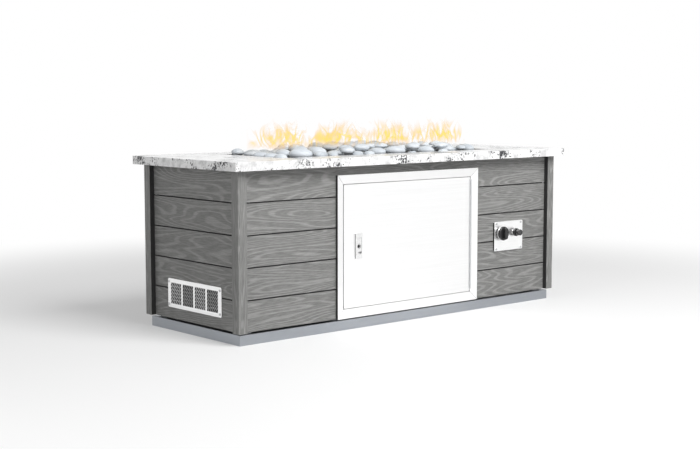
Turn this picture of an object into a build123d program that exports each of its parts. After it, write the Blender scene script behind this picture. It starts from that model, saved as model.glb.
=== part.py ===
"""Gas fire pit: a stone-topped, board-clad cabinet with a long pebble burner, a door and a gas control.

Millimetres. Origin on the floor under the middle of the body, +X along its length, -Y to the front, +Z up.
"""
import math
import os

from build123d import *

os.makedirs("parts", exist_ok=True)

# Stone top
top_length = 1636
top_width = 616
top_thickness = 30
top_height = 610
top_overhang = 29
top_edge = 2
opening_end_border = 298
opening_side_border = 133
opening_length = top_length - 2 * opening_end_border
opening_width = top_width - 2 * opening_side_border
opening_corner = 6

# Body and cladding
body_x = top_length / 2 - top_overhang
body_y = top_width / 2 - top_overhang
under_top = top_height - top_thickness
trim_leg = 36
trim_thickness = 18
trim_bottom = 42
board_thickness = 18
board_height = 105
board_gap = 3
board_bottom = 41.5
board_rows = 5
board_edge = 0.8
face_x = body_x - trim_thickness
face_y = body_y - trim_thickness
inner_x = face_x - board_thickness
inner_y = face_y - board_thickness

# Base ring and frame
base_setback = 15
base_height = 35
base_width = 62
base_wall = 4
tube = 40
tube_wall = 3
top_frame_height = 40
flange_thickness = 2
pan_rail = 22
stud_width = 25

# Burner
pan_wall = 2
pan_bottom = 520
pan_play = 2
pan_flange = 20
burner_radius = 9.5
burner_wall = 1.5
burner_height = 560
burner_half_length = 440
burner_row = 75
port_radius = 1.25
port_pitch = 40
mixer_size = 28
mixer_bottom = 476
mixer_top = 512
cross_radius = 8.5
nipple_radius = 7
bed_play = 0.5
bed_rise = 14
bed_inset = 3

# Pebbles
pebble_count = 180
heap_height = 40
pebble_tries = 40
pebble_half_min = 26
pebble_half_max = 46
pebble_clearance = 0.3

# Door
frame_width = 708
frame_height = 506
frame_bottom = 41
frame_border = 32
frame_lip = 2
frame_proud = 10
frame_inner_proud = 2
frame_sheet = 2
stop_width = 14
stop_back = 20.5
frame_depth = stop_back + frame_sheet
leaf_gap = 2
leaf_depth = 20
leaf_sheet = 1.5
leaf_corner = 6
leaf_setback = 0.5
gasket_width = 8
gasket_thickness = 6
board_play = 2.5

# Door hinge
barrel_radius = 3
pin_radius = 1.5
running_fit = 0.05
hinge_sheet = 0.8
knuckle_pitch = 20
knuckle_count = 21
knuckle_gap = 0.6
hinge_depth = 16

# Latch
latch_x = -251
latch_z = 294
latch_width = 31
latch_height = 92
latch_proud = 3
pocket_width = 25
pocket_height = 56
pocket_depth = 7.5
cup_wall = 1.5
key_z = 292
lock_radius = 8
plug_radius = 6
cam_length = 66
cam_width = 14
cam_thickness = 3
pull_thickness = 3
pull_pin_radius = 1

# Control plate, valve and igniter
plate_x = 535.5
plate_z = 274
plate_width = 164
plate_height = 114
plate_proud = 6
plate_sheet = 2
plate_corner = 5
plate_screw_x = 141
plate_screw_z = 100
cutout_width = 150
cutout_height = 68
valve_x = 490.5
control_z = 286
stem_radius = 4
core_radius = 8
valve_block = 40
knob_radius = 27
knob_skirt = 9
knob_gap = 11
knob_depth = 22
bezel_radius = 26
bezel_depth = 5
knob_grip = 17
igniter_x = 566.5
igniter_nose = 10
igniter_bore = 7
collar_radius = 15.5
collar_gap = 8
collar_depth = 9
button_radius = 12
button_gap = 5
button_depth = 14
screw_radius = 2
screw_head = 4.2
screw_head_height = 2.2
screw_length = 16
elbow_width = 22
elbow_height = 18
inlet_radius = 7.9
inlet_length = 18
inlet_bore = 4

# Gas line and ignition lead
line_radius = 6
line_bend = 30
lead_radius = 1.5
lead_bend = 12
electrode_x = 45
electrode_y = -38
electrode_radius = 3

# Vent grilles
grille_width = 319
grille_height = 103
grille_z = 132.5
grille_sheet = 2.5
grille_corner = 6
grille_columns = 4
grille_opening_width = 290
grille_opening_height = 74
slot_length = 14.5
slot_width = 5.4
slot_pitch_y = 10.5
slot_pitch_z = 12.4
slot_count = 6
slot_lean = 52


def block(x0, x1, y0, y1, z0, z1, mode=Mode.ADD):
    """A box between two corners."""
    with Locations(((x0 + x1) / 2, (y0 + y1) / 2, (z0 + z1) / 2)):
        Box(x1 - x0, y1 - y0, z1 - z0, mode=mode)


def rod_x(x0, x1, y, z, radius, mode=Mode.ADD):
    """A round bar along X."""
    with Locations(Location(((x0 + x1) / 2, y, z), (0, 90, 0))):
        Cylinder(radius, x1 - x0, mode=mode)


def rod_y(x, y0, y1, z, radius, mode=Mode.ADD):
    """A round bar along Y."""
    with Locations(Location((x, (y0 + y1) / 2, z), (90, 0, 0))):
        Cylinder(radius, y1 - y0, mode=mode)


def rod_z(x, y, z0, z1, radius, mode=Mode.ADD):
    """A round bar along Z."""
    with Locations((x, y, (z0 + z1) / 2)):
        Cylinder(radius, z1 - z0, mode=mode)


def ring(half_x, half_y, width, z0, z1):
    """A flat rectangular ring that lies level."""
    block(-half_x, half_x, -half_y, half_y, z0, z1)
    block(width - half_x, half_x - width, width - half_y, half_y - width, z0, z1, Mode.SUBTRACT)


def save(piece, label):
    """Name a finished piece and write its file."""
    piece.part.label = label
    export_step(piece.part, f"parts/{label}.step")


# Stone top
with BuildPart() as stone_top:
    with BuildSketch(Plane.XY.offset(under_top)):
        Rectangle(top_length, top_width)
    extrude(amount=top_thickness)
    fillet(stone_top.edges().filter_by(Axis.Z), 3)
    fillet(stone_top.faces().sort_by(Axis.Z)[-1].edges(), top_edge)
    with BuildSketch(Plane.XY.offset(under_top)):
        RectangleRounded(opening_length, opening_width, opening_corner)
    extrude(amount=top_thickness, mode=Mode.SUBTRACT)
save(stone_top, "stone_top")

# Base ring: a channel, open underneath
base_x = body_x - base_setback
base_y = body_y - base_setback
with BuildPart() as base_ring:
    ring(base_x, base_y, base_width, 0, base_height)
    with BuildSketch(Plane.XY):
        Rectangle(2 * (base_x - base_wall), 2 * (base_y - base_wall))
        Rectangle(
            2 * (base_x - base_width + base_wall),
            2 * (base_y - base_width + base_wall),
            mode=Mode.SUBTRACT,
        )
    extrude(amount=base_height - base_wall, mode=Mode.SUBTRACT)
save(base_ring, "base_ring")

# Corner posts
post_top = under_top - top_frame_height
with BuildPart() as corner_posts:
    with BuildSketch(Plane.XY.offset(base_height)):
        with GridLocations(2 * inner_x - tube, 2 * inner_y - tube, 2, 2):
            Rectangle(tube, tube)
            Rectangle(tube - 2 * tube_wall, tube - 2 * tube_wall, mode=Mode.SUBTRACT)
    extrude(amount=post_top - base_height)
save(corner_posts, "corner_posts")

# Top frame under the stone
with BuildPart() as top_frame:
    ring(inner_x, inner_y, tube, post_top, under_top)
save(top_frame, "top_frame")

# Pan frame between the long bars of the top frame
pan_x = opening_length / 2 + pan_play
pan_y = opening_width / 2 + pan_play
rail_x = pan_x + pan_wall + 1
rail_y = pan_y + pan_wall + 1
with BuildPart() as pan_frame:
    block(-rail_x - pan_rail, rail_x + pan_rail, tube - inner_y, inner_y - tube, post_top,
          under_top - flange_thickness)
    block(-rail_x, rail_x, -rail_y, rail_y, post_top, under_top, Mode.SUBTRACT)
save(pan_frame, "pan_frame")

# Door frame: mitred border that slopes inwards, a jamb and a stop behind the leaf
reveal_x = frame_width / 2 - frame_border
reveal_low = frame_bottom + frame_border
reveal_high = frame_bottom + frame_height - frame_border
frame_mid = frame_bottom + frame_height / 2
reveal_height = reveal_high - reveal_low
front_y = -face_y
slope_y = front_y - frame_inner_proud
lip_y = front_y - frame_proud
stop_y = slope_y + stop_back
jamb_x = reveal_x + frame_sheet
jamb_back = slope_y + frame_depth
front_plane = Plane(origin=(0, front_y, frame_mid), x_dir=(1, 0, 0), z_dir=(0, -1, 0))
with BuildPart() as door_frame:
    with BuildSketch(front_plane):
        Rectangle(frame_width, frame_height)
        Rectangle(2 * reveal_x, reveal_height, mode=Mode.SUBTRACT)
    extrude(amount=frame_proud)
    with BuildSketch(front_plane.offset(frame_inner_proud)):
        Rectangle(2 * reveal_x, reveal_height)
    with BuildSketch(front_plane.offset(frame_proud)):
        Rectangle(frame_width - 2 * frame_lip, frame_height - 2 * frame_lip)
    loft(ruled=True, mode=Mode.SUBTRACT)
    with BuildSketch(front_plane):
        Rectangle(2 * jamb_x, reveal_height + 2 * frame_sheet)
        Rectangle(2 * reveal_x, reveal_height, mode=Mode.SUBTRACT)
    extrude(amount=front_y - jamb_back)
    with BuildSketch(front_plane.offset(front_y - stop_y)):
        Rectangle(2 * reveal_x, reveal_height)
        Rectangle(2 * (reveal_x - stop_width), reveal_height - 2 * stop_width, mode=Mode.SUBTRACT)
    extrude(amount=-frame_sheet)
    with BuildSketch(front_plane):
        Rectangle(frame_width, frame_height)
        Rectangle(frame_width - 2 * gasket_width, frame_height - 2 * gasket_width, mode=Mode.SUBTRACT)
    extrude(amount=gasket_thickness, mode=Mode.SUBTRACT)
save(door_frame, "door_frame")

# Gasket between the border of the door frame and the boards
with BuildPart() as door_gasket:
    with BuildSketch(front_plane):
        Rectangle(frame_width, frame_height)
        Rectangle(frame_width - 2 * gasket_width, frame_height - 2 * gasket_width, mode=Mode.SUBTRACT)
    extrude(amount=gasket_thickness)
save(door_gasket, "door_gasket")

# Studs and sill that carry the door frame and the short boards
hole_x = jamb_x + board_play
hole_high = reveal_high + frame_sheet + board_play
with BuildPart() as door_studs:
    for side in (-1, 1):
        with Locations((side * (hole_x + stud_width / 2), -inner_y + tube / 2, (base_height + post_top) / 2)):
            Box(stud_width, tube, post_top - base_height)
    block(-hole_x, hole_x, -inner_y, tube - inner_y, base_height, reveal_low - frame_sheet)
save(door_studs, "door_studs")

# Front boards: one full-length top row, four short rows on each side of the door
plate_low = control_z - cutout_height / 2
plate_high = control_z + cutout_height / 2


def row_bottom(row):
    """Height of the underside of a board row, counted from the floor."""
    return board_bottom + row * (board_height + board_gap)


def ease_front(piece):
    """Break the edges of the face that looks to the front."""
    chamfer(piece.faces().sort_by(Axis.Y)[0].edges(), board_edge)


def plate_screw_holes(radius):
    """The four screw holes of the control plate."""
    for dx in (-plate_screw_x / 2, plate_screw_x / 2):
        for dz in (-plate_screw_z / 2, plate_screw_z / 2):
            rod_y(plate_x + dx, front_y - plate_proud, front_y + board_thickness, plate_z + dz, radius,
                  Mode.SUBTRACT)


top_row = row_bottom(board_rows - 1)
with BuildPart() as board_front_top:
    block(-face_x, face_x, front_y, -inner_y, top_row, top_row + board_height)
    block(-hole_x, hole_x, front_y, -inner_y, top_row, hole_high, Mode.SUBTRACT)
    ease_front(board_front_top)
save(board_front_top, "board_front_top")

for row in range(board_rows - 1):
    low = row_bottom(row)
    with BuildPart() as board_left_of_door:
        block(-face_x, -hole_x, front_y, -inner_y, low, low + board_height)
        ease_front(board_left_of_door)
    save(board_left_of_door, f"board_front_left_{row + 1}")
    with BuildPart() as board_right_of_door:
        block(hole_x, face_x, front_y, -inner_y, low, low + board_height)
        ease_front(board_right_of_door)
        if low < plate_high and low + board_height > plate_low:
            block(plate_x - cutout_width / 2, plate_x + cutout_width / 2, front_y, -inner_y,
                  max(low, plate_low), min(low + board_height, plate_high), Mode.SUBTRACT)
        if low < plate_z + plate_height / 2 and low + board_height > plate_z - plate_height / 2:
            plate_screw_holes(screw_radius)
    save(board_right_of_door, f"board_front_right_{row + 1}")

# Side boards, cut behind the grilles
grille_low = grille_z - grille_opening_height / 2
grille_high = grille_z + grille_opening_height / 2
grille_screw_y = grille_width / 2 - 7
right_boards = []
for side in (-1, 1):
    for row in range(board_rows):
        low = row_bottom(row)
        with BuildPart() as side_board:
            block(min(side * inner_x, side * face_x), max(side * inner_x, side * face_x),
                  -inner_y, inner_y, low, low + board_height)
            outer = side_board.faces().sort_by(Axis.X)[0 if side < 0 else -1]
            chamfer(outer.edges(), board_edge)
            if low < grille_high and low + board_height > grille_low:
                block(min(side * inner_x, side * face_x), max(side * inner_x, side * face_x),
                      -grille_opening_width / 2, grille_opening_width / 2,
                      max(low, grille_low), min(low + board_height, grille_high), Mode.SUBTRACT)
                for y in (-grille_screw_y, grille_screw_y):
                    for z in (grille_z - 40, grille_z + 40):
                        rod_x(min(side * inner_x, side * face_x), max(side * inner_x, side * face_x),
                              y, z, screw_radius, Mode.SUBTRACT)
        if side < 0:
            save(side_board, f"board_left_{row + 1}")
        else:
            right_boards.append(side_board.part)
with BuildPart() as boards_right:
    add(right_boards)
save(boards_right, "boards_right")

# Back boards
with BuildPart() as boards_back:
    for row in range(board_rows):
        block(-face_x, face_x, inner_y, face_y, row_bottom(row), row_bottom(row) + board_height)
save(boards_back, "boards_back")

# Corner trims
for name, side_x, side_y in (
    ("front_left", -1, -1), ("front_right", 1, -1), ("back_left", -1, 1), ("back_right", 1, 1),
):
    with BuildPart() as trim:
        with BuildSketch(Plane.XY.offset(trim_bottom)):
            with BuildLine():
                Polyline(
                    (side_x * body_x, side_y * body_y),
                    (side_x * (body_x - trim_leg), side_y * body_y),
                    (side_x * (body_x - trim_leg), side_y * face_y),
                    (side_x * face_x, side_y * face_y),
                    (side_x * face_x, side_y * (body_y - trim_leg)),
                    (side_x * body_x, side_y * (body_y - trim_leg)),
                    close=True,
                )
            make_face()
        extrude(amount=under_top - trim_bottom)
        chamfer(trim.edges().filter_by(Axis.Z).sort_by_distance((side_x * body_x, side_y * body_y, 300))[0], 1)
    save(trim, f"trim_{name}")

# Burner pan with a flange held between the stone and the pan frame
with BuildPart() as burner_pan:
    block(-pan_x - pan_wall, pan_x + pan_wall, -pan_y - pan_wall, pan_y + pan_wall, pan_bottom, under_top)
    block(-pan_x - pan_flange, pan_x + pan_flange, -pan_y - pan_flange, pan_y + pan_flange,
          under_top - flange_thickness, under_top)
    block(-pan_x, pan_x, -pan_y, pan_y, pan_bottom + pan_wall, under_top, Mode.SUBTRACT)
    rod_z(0, 0, pan_bottom, pan_bottom + pan_wall, nipple_radius, Mode.SUBTRACT)
    rod_z(electrode_x, electrode_y, pan_bottom, pan_bottom + pan_wall, electrode_radius, Mode.SUBTRACT)
save(burner_pan, "burner_pan")

# Burner: two long tubes, a cross tube and the inlet nipple
port_count = 2 * burner_half_length // port_pitch
with BuildPart() as burner_tube:
    for y in (-burner_row, burner_row):
        rod_x(-burner_half_length, burner_half_length, y, burner_height, burner_radius)
    rod_y(0, -burner_row, burner_row, burner_height, cross_radius)
    rod_z(0, 0, mixer_top, burner_height, nipple_radius)
    end = burner_half_length - burner_wall
    for y in (-burner_row, burner_row):
        rod_x(-end, end, y, burner_height, burner_radius - burner_wall, Mode.SUBTRACT)
    rod_y(0, -burner_row, burner_row, burner_height, cross_radius - burner_wall, Mode.SUBTRACT)
    rod_z(0, 0, mixer_top, burner_height, nipple_radius - burner_wall, Mode.SUBTRACT)
    with Locations(Plane.XY.offset(burner_height + burner_radius / 2)):
        with GridLocations(port_pitch, 2 * burner_row, port_count, 2):
            Cylinder(port_radius, burner_radius + 2, mode=Mode.SUBTRACT)
save(burner_tube, "burner_tube")

# Mixer block that joins the gas line to the burner
with BuildPart() as mixer_block:
    half = mixer_size / 2
    block(-half, half, -half, half, mixer_bottom, mixer_top)
    rod_z(0, 0, (mixer_bottom + mixer_top) / 2, mixer_top, nipple_radius - burner_wall, Mode.SUBTRACT)
    rod_y(0, -half, 0, (mixer_bottom + mixer_top) / 2, line_radius, Mode.SUBTRACT)
save(mixer_block, "mixer_block")

# Bed of fill that carries the pebbles
bed_top = under_top + bed_rise
with BuildPart() as fill_bed:
    block(-pan_x, pan_x, -pan_y, pan_y, pan_bottom + pan_wall, under_top)
    block(bed_inset - opening_length / 2, opening_length / 2 - bed_inset, bed_inset - opening_width / 2,
          opening_width / 2 - bed_inset, under_top, bed_top)
    for y in (-burner_row, burner_row):
        rod_x(-burner_half_length - bed_play, burner_half_length + bed_play, y, burner_height,
              burner_radius + bed_play, Mode.SUBTRACT)
    rod_y(0, -burner_row, burner_row, burner_height, cross_radius + bed_play, Mode.SUBTRACT)
    rod_z(0, 0, pan_bottom, burner_height, nipple_radius + bed_play, Mode.SUBTRACT)
    rod_z(electrode_x, electrode_y, pan_bottom, bed_top, electrode_radius + bed_play, Mode.SUBTRACT)
save(fill_bed, "fill_bed")

# Spark electrode
with BuildPart() as electrode:
    rod_z(electrode_x, electrode_y, pan_bottom - 14, burner_height + 12, electrode_radius)
    rod_z(electrode_x, electrode_y, burner_height + 12, burner_height + 18, 1)
save(electrode, "electrode")


# Pebbles: each one is lowered until it rests on the bed or on those below it
def spread(index, salt):
    """A repeatable value from 0 to 1 that looks random."""
    value = math.sin(index * 12.9898 + salt * 78.233) * 43758.5453
    return value - math.floor(value)


def height_above(stone, x, y):
    """Half height of a pebble above a point of its outline, or None outside it."""
    dx = x - stone["x"]
    dy = y - stone["y"]
    u = (dx * math.cos(stone["turn"]) + dy * math.sin(stone["turn"])) / (stone["a"] + pebble_clearance)
    v = (dy * math.cos(stone["turn"]) - dx * math.sin(stone["turn"])) / (stone["b"] + pebble_clearance)
    inside = 1 - u * u - v * v
    return stone["c"] * math.sqrt(inside) if inside > 0 else None


def settle(stone, placed):
    """Give a pebble the height at which it first touches what lies under it."""
    stone["z"] = bed_top + stone["c"]
    near = [other for other in placed
            if math.hypot(other["x"] - stone["x"], other["y"] - stone["y"]) < other["a"] + stone["a"] + 1]
    for ring_step in range(13):
        for turn_step in range(36):
            rise = ring_step * math.pi / 24
            angle = turn_step * math.pi / 18
            u = (stone["a"] + pebble_clearance) * math.sin(rise) * math.cos(angle)
            v = (stone["b"] + pebble_clearance) * math.sin(rise) * math.sin(angle)
            x = stone["x"] + u * math.cos(stone["turn"]) - v * math.sin(stone["turn"])
            y = stone["y"] + u * math.sin(stone["turn"]) + v * math.cos(stone["turn"])
            own = stone["c"] * math.cos(rise)
            for other in near:
                above = height_above(other, x, y)
                if above is not None:
                    stone["z"] = max(stone["z"], other["z"] + above + own + pebble_clearance)


def stone_at(index, attempt):
    """One pebble of its own size at one of the places tried for it."""
    draw = index * pebble_tries + attempt + 1
    a = pebble_half_min + (pebble_half_max - pebble_half_min) * spread(index + 1, 3)
    b = a * (0.66 + 0.22 * spread(index + 1, 4))
    turn = math.pi * spread(draw, 6)
    limit_x = opening_length / 2 - 1 - math.hypot(a * math.cos(turn), b * math.sin(turn))
    limit_y = opening_width / 2 - 1 - math.hypot(a * math.sin(turn), b * math.cos(turn))
    return {
        "a": a,
        "b": b,
        "c": b * (0.50 + 0.16 * spread(index + 1, 5)),
        "turn": turn,
        "x": limit_x * (2 * spread(draw, 7) - 1),
        "y": limit_y * (2 * spread(draw, 8) - 1),
    }


stones = []
for index in range(pebble_count):
    choices = [stone_at(index, attempt) for attempt in range(pebble_tries)]
    for choice in choices:
        settle(choice, stones)
        choice["cost"] = choice["z"] + 8 * (2 * choice["x"] / opening_length) ** 4
        choice["cost"] += 8 * (2 * choice["y"] / opening_width) ** 2
    lowest = min(choices, key=lambda choice: choice["cost"])
    limit = top_height + heap_height * (1 - 0.5 * (2 * lowest["x"] / opening_length) ** 4)
    if lowest["z"] + lowest["c"] < limit:
        stones.append(lowest)
solids = []
for stone in stones:
    with BuildPart() as pebble:
        Sphere(1)
        scale(by=(stone["a"], stone["b"], stone["c"]))
    place = Location((stone["x"], stone["y"], stone["z"]), (0, 0, math.degrees(stone["turn"])))
    solids.append(pebble.part.moved(place))
with BuildPart() as pebbles:
    add(solids)
save(pebbles, "pebbles")

# Door leaf: a tray with rounded corners, cut for the latch
leaf_x = reveal_x - leaf_gap
leaf_height = reveal_height - 2 * leaf_gap
leaf_front = slope_y - leaf_setback
leaf_plane = Plane(origin=(0, leaf_front, frame_mid), x_dir=(1, 0, 0), z_dir=(0, 1, 0))
cup_half_x = pocket_width / 2 + cup_wall
cup_half_z = pocket_height / 2 + cup_wall
with BuildPart() as door_leaf:
    with BuildSketch(leaf_plane):
        RectangleRounded(2 * leaf_x, leaf_height, leaf_corner)
    extrude(amount=leaf_depth)
    with BuildSketch(leaf_plane.offset(leaf_sheet)):
        RectangleRounded(2 * (leaf_x - leaf_sheet), leaf_height - 2 * leaf_sheet, leaf_corner - leaf_sheet)
    extrude(amount=leaf_depth, mode=Mode.SUBTRACT)
    block(latch_x - cup_half_x, latch_x + cup_half_x, leaf_front, leaf_front + leaf_sheet,
          latch_z - cup_half_z, latch_z + cup_half_z, Mode.SUBTRACT)
save(door_leaf, "door_leaf")

# Piano hinge along the right edge of the leaf
hinge_x = reveal_x - leaf_gap / 2
hinge_y = leaf_front - barrel_radius - 0.5
hinge_low = frame_mid - knuckle_pitch * knuckle_count / 2
hinge_high = frame_mid + knuckle_pitch * knuckle_count / 2
plate_edge = leaf_front + 0.2


def hinge_leaf(x0, x1, first):
    """One leaf of the hinge: a strip in the gap, and every second knuckle."""
    block(x0, x1, plate_edge, plate_edge + hinge_depth, hinge_low, hinge_high)
    for index in range(first, knuckle_count, 2):
        low = hinge_low + index * knuckle_pitch + knuckle_gap / 2
        high = low + knuckle_pitch - knuckle_gap
        rod_z(hinge_x, hinge_y, low, high, barrel_radius)
        block(x0, x1, hinge_y, plate_edge, low, high)


with BuildPart() as hinge_frame_leaf:
    hinge_leaf(reveal_x - hinge_sheet, reveal_x, 0)
    rod_z(hinge_x, hinge_y, hinge_low, hinge_high, pin_radius, Mode.SUBTRACT)
save(hinge_frame_leaf, "hinge_frame_leaf")

with BuildPart() as hinge_door_leaf:
    hinge_leaf(leaf_x, leaf_x + hinge_sheet, 1)
    rod_z(hinge_x, hinge_y, hinge_low, hinge_high, pin_radius + running_fit, Mode.SUBTRACT)
save(hinge_door_leaf, "hinge_door_leaf")

with BuildPart() as hinge_pin:
    rod_z(hinge_x, hinge_y, hinge_low, hinge_high, pin_radius)
save(hinge_pin, "hinge_pin")

# Latch cup: a raised plate with a pocket and the sleeve of the lock
cup_front = leaf_front - latch_proud
pocket_floor = cup_front + pocket_depth
pull_y = cup_front + 2
pull_z = latch_z + pocket_height / 2 - 3
lock_back = stop_y + frame_sheet + 0.5
with BuildPart() as latch_cup:
    block(latch_x - latch_width / 2, latch_x + latch_width / 2, cup_front, leaf_front,
          latch_z - latch_height / 2, latch_z + latch_height / 2)
    fillet(latch_cup.edges().filter_by(Axis.Y), 3)
    block(latch_x - cup_half_x, latch_x + cup_half_x, leaf_front, pocket_floor + cup_wall,
          latch_z - cup_half_z, latch_z + cup_half_z)
    block(latch_x - pocket_width / 2, latch_x + pocket_width / 2, cup_front, pocket_floor,
          latch_z - pocket_height / 2, latch_z + pocket_height / 2, Mode.SUBTRACT)
    rod_y(latch_x, cup_front + 1.5, lock_back, key_z, lock_radius)
    rod_y(latch_x, cup_front, lock_back, key_z, plug_radius + running_fit, Mode.SUBTRACT)
    rod_x(latch_x - 14.5, latch_x + 14.5, pull_y, pull_z, pull_pin_radius + running_fit, Mode.SUBTRACT)
save(latch_cup, "latch_cup")

# Lift pull, hinged at its upper end round the lock
with BuildPart() as latch_pull:
    block(latch_x - pocket_width / 2 + 0.4, latch_x + pocket_width / 2 - 0.4, pull_y - pull_thickness / 2,
          pull_y + pull_thickness / 2, latch_z - pocket_height / 2 + 7, pull_z + 2)
    rod_y(latch_x, pull_y - pull_thickness, pull_y + pull_thickness, key_z, lock_radius + 1, Mode.SUBTRACT)
    rod_x(latch_x - 14, latch_x + 14, pull_y, pull_z, pull_pin_radius)
save(latch_pull, "latch_pull")

# Key plug with its cam; the cam hangs down when the lock is open
cam_front = lock_back + 0.6
with BuildPart() as key_plug:
    rod_y(latch_x, cup_front + 1, cam_front + cam_thickness, key_z, plug_radius)
    block(latch_x - cam_width / 2, latch_x + cam_width / 2, cam_front, cam_front + cam_thickness,
          key_z - cam_length, key_z + cam_width / 2)
    block(latch_x - 0.8, latch_x + 0.8, cup_front, cup_front + 7, key_z - 4, key_z + 4, Mode.SUBTRACT)
save(key_plug, "key_plug")

# Control plate: a shallow tray over the cut-out in the boards
plate_front = front_y - plate_proud
plate_back = plate_front + plate_sheet
plate_plane = Plane(origin=(plate_x, plate_front, plate_z), x_dir=(1, 0, 0), z_dir=(0, 1, 0))
with BuildPart() as control_plate:
    with BuildSketch(plate_plane):
        RectangleRounded(plate_width, plate_height, plate_corner)
    extrude(amount=plate_proud)
    with BuildSketch(plate_plane.offset(plate_sheet)):
        RectangleRounded(plate_width - 2 * plate_sheet, plate_height - 2 * plate_sheet, plate_corner - plate_sheet)
    extrude(amount=plate_proud, mode=Mode.SUBTRACT)
    for dx in (-plate_screw_x / 2, plate_screw_x / 2):
        for dz in (-plate_screw_z / 2, plate_screw_z / 2):
            rod_y(plate_x + dx, plate_back, front_y, plate_z + dz, screw_head)
    plate_screw_holes(screw_radius)
    rod_y(valve_x, plate_front, plate_back, control_z, core_radius - 1, Mode.SUBTRACT)
    rod_y(igniter_x, plate_front, plate_back, control_z, igniter_nose, Mode.SUBTRACT)
save(control_plate, "control_plate")

with BuildPart() as control_screws:
    for dx in (-plate_screw_x / 2, plate_screw_x / 2):
        for dz in (-plate_screw_z / 2, plate_screw_z / 2):
            rod_y(plate_x + dx, plate_front, plate_front + screw_length, plate_z + dz, screw_radius)
            rod_y(plate_x + dx, plate_front - screw_head_height, plate_front, plate_z + dz, screw_head)
            block(plate_x + dx - 2.6, plate_x + dx + 2.6, plate_front - screw_head_height,
                  plate_front - 1.2, plate_z + dz - 0.5, plate_z + dz + 0.5, Mode.SUBTRACT)
            block(plate_x + dx - 0.5, plate_x + dx + 0.5, plate_front - screw_head_height,
                  plate_front - 1.2, plate_z + dz - 2.6, plate_z + dz + 2.6, Mode.SUBTRACT)
save(control_screws, "control_screws")

# Gas valve: body, turning core, stem and knob on one axis
block_front = plate_back + 12
block_back = block_front + 48
core_front = block_front + 8
core_back = block_back - 10
stem_back = core_back - 12
knob_back = plate_front - knob_gap
knob_front = knob_back - knob_depth
half = valve_block / 2
with BuildPart() as valve_body:
    block(valve_x - half, valve_x + half, block_front, block_back, control_z - half, control_z + half)
    rod_y(valve_x, plate_back, block_front, control_z, 11)
    rod_y(valve_x, plate_front, plate_back, control_z, core_radius - 1)
    rod_y(valve_x, plate_front, core_front, control_z, stem_radius + running_fit, Mode.SUBTRACT)
    rod_y(valve_x, core_front, block_back, control_z, core_radius + running_fit, Mode.SUBTRACT)
    rod_z(valve_x, (block_front + block_back) / 2, control_z - half, control_z - core_radius, 5, Mode.SUBTRACT)
save(valve_body, "valve_body")

with BuildPart() as valve_core:
    rod_y(valve_x, core_front + 0.1, core_back, control_z, core_radius)
    rod_y(valve_x, core_front, stem_back + 6, control_z, stem_radius + running_fit, Mode.SUBTRACT)
save(valve_core, "valve_core")

with BuildPart() as valve_stem:
    rod_y(valve_x, knob_back - 16, stem_back, control_z, stem_radius)
save(valve_stem, "valve_stem")

with BuildPart() as knob:
    rod_y(valve_x, knob_back - knob_skirt, knob_back, control_z, knob_radius)
    fillet(knob.faces().sort_by(Axis.Y)[0].edges(), 3)
    with BuildSketch(Plane(origin=(valve_x, knob_back - knob_skirt, control_z), x_dir=(1, 0, 0), z_dir=(0, -1, 0))):
        SlotOverall(2 * knob_radius - 10, knob_grip, rotation=90)
    extrude(amount=knob_depth - knob_skirt)
    fillet(knob.faces().sort_by(Axis.Y)[0].edges(), 3)
    block(valve_x - 1, valve_x + 1, knob_front, knob_front + 0.6, control_z + 6, control_z + 20, Mode.SUBTRACT)
    rod_y(valve_x, knob_back - 16, knob_back, control_z, stem_radius, Mode.SUBTRACT)
save(knob, "knob")

with BuildPart() as knob_bezel:
    rod_y(valve_x, knob_back, knob_back + bezel_depth, control_z, bezel_radius)
    fillet(knob_bezel.faces().sort_by(Axis.Y)[-1].edges(), 1)
    rod_y(valve_x, knob_back, knob_back + bezel_depth, control_z, stem_radius, Mode.SUBTRACT)
save(knob_bezel, "knob_bezel")

# Hose connection at the underside of the valve
port_y = (block_front + block_back) / 2
inlet_y = block_back + 25
elbow_bottom = control_z - half - elbow_height
with BuildPart() as gas_inlet:
    block(valve_x - elbow_width / 2, valve_x + elbow_width / 2, port_y - elbow_width / 2,
          inlet_y + elbow_width / 2, elbow_bottom, control_z - half)
    rod_z(valve_x, inlet_y, elbow_bottom - inlet_length, elbow_bottom, inlet_radius)
    rod_z(valve_x, inlet_y, elbow_bottom - inlet_length, elbow_bottom + elbow_height / 2, inlet_bore, Mode.SUBTRACT)
    rod_y(valve_x, port_y, inlet_y, elbow_bottom + elbow_height / 2, inlet_bore, Mode.SUBTRACT)
    rod_z(valve_x, port_y, elbow_bottom + elbow_height / 2, control_z - half, inlet_bore, Mode.SUBTRACT)
save(gas_inlet, "gas_inlet")

# Outlet cap and gas line to the mixer
with BuildPart() as valve_outlet:
    rod_y(valve_x, block_back - 8, block_back, control_z, core_radius)
    rod_y(valve_x, block_back, block_back + 14, control_z, 11)
    rod_y(valve_x, block_back - 8, block_back + 4, control_z, 4, Mode.SUBTRACT)
    rod_y(valve_x, block_back + 4, block_back + 14, control_z, line_radius, Mode.SUBTRACT)
save(valve_outlet, "valve_outlet")

line_start = block_back + 4
line_level = (mixer_bottom + mixer_top) / 2
line_lane = block_back + 60
with BuildPart() as gas_line:
    with BuildLine() as route:
        FilletPolyline(
            (valve_x, line_start, control_z),
            (valve_x, line_lane, control_z),
            (valve_x, line_lane, line_level),
            (0, line_lane, line_level),
            (0, -mixer_size / 2 + 4, line_level),
            radius=line_bend,
        )
    with BuildSketch(Plane(origin=(valve_x, line_start, control_z), z_dir=(0, 1, 0))):
        Circle(line_radius)
        Circle(line_radius - 1.5, mode=Mode.SUBTRACT)
    sweep()
save(gas_line, "gas_line")

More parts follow.
